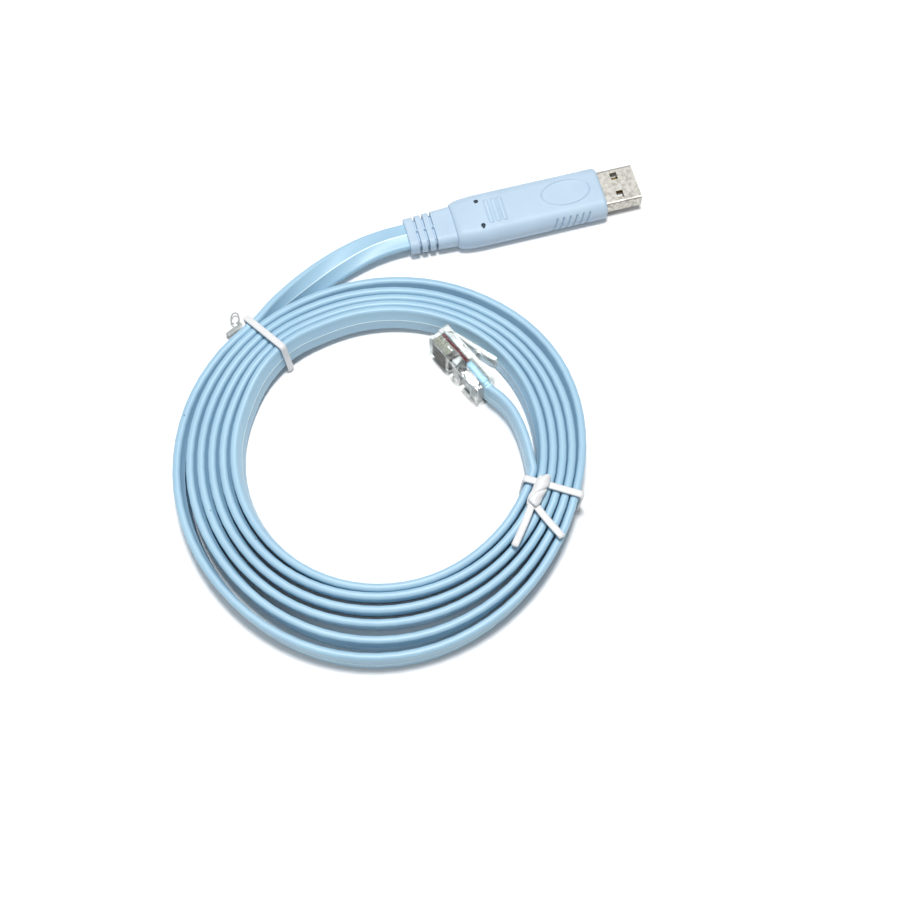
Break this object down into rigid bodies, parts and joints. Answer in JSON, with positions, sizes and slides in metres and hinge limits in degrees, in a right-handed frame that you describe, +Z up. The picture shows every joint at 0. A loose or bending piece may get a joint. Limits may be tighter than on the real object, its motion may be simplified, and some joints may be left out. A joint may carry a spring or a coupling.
{
  "type": "rj45 console cable",
  "caption": "Flat console cable wound on edge into a round coil held by wire ties, with a clear RJ45 plug at one end and a moulded USB-A plug at the other.",
  "frame": {"origin": "on the floor, under the middle of the box round the two plugs and the two ties, which is inside the coil near the clear plug", "axes": "+Z up from the floor the cable lies on, +X the way the moulded USB plug roughly points (it is turned 15 degrees towards +Y), +Y across the coil towards the USB plug"},
  "size_m": [0.1321, 0.1514, 0.0122],
  "materials": {
    "cable_jacket": "smooth satin, pale cyan blue",
    "plug_moulding": "fine matte spark texture, pale lavender blue",
    "plug_shell": "nickel plated, lightly mottled",
    "contact_gold": "gold flashed",
    "tongue_plastic": "smooth white",
    "clear_plastic": "clear polycarbonate",
    "wire_dull": "solid insulation colours",
    "wire_red": "dark red insulation",
    "tie_plastic": "white plastic over wire"
  },
  "bodies": {
    "root": {"cable_coil": "cable_jacket", "cable_lead": "cable_jacket", "cable_tail": "cable_jacket", "twist_tie_left": "tie_plastic", "twist_tie_right": "tie_plastic", "usb_overmould": "plug_moulding", "usb_shell": "plug_shell", "usb_tongue": "tongue_plastic", "usb_contact_1": "contact_gold", "usb_contact_2": "contact_gold", "usb_contact_3": "contact_gold", "usb_contact_4": "contact_gold", "rj45_housing": "clear_plastic", "rj45_contact_1": "contact_gold", "rj45_contact_2": "contact_gold", "rj45_contact_3": "contact_gold", "rj45_contact_4": "contact_gold", "rj45_contact_5": "contact_gold", "rj45_contact_6": "contact_gold", "rj45_contact_7": "contact_gold", "rj45_contact_8": "contact_gold", "rj45_wire_1": "wire_dull", "rj45_wire_2": "wire_dull", "rj45_wire_3": "wire_dull", "rj45_wire_4": "wire_dull", "rj45_wire_5": "wire_dull", "rj45_wire_6": "wire_dull", "rj45_wire_7": "wire_dull", "rj45_wire_8": "wire_red"}
  },
  "joints": []
}
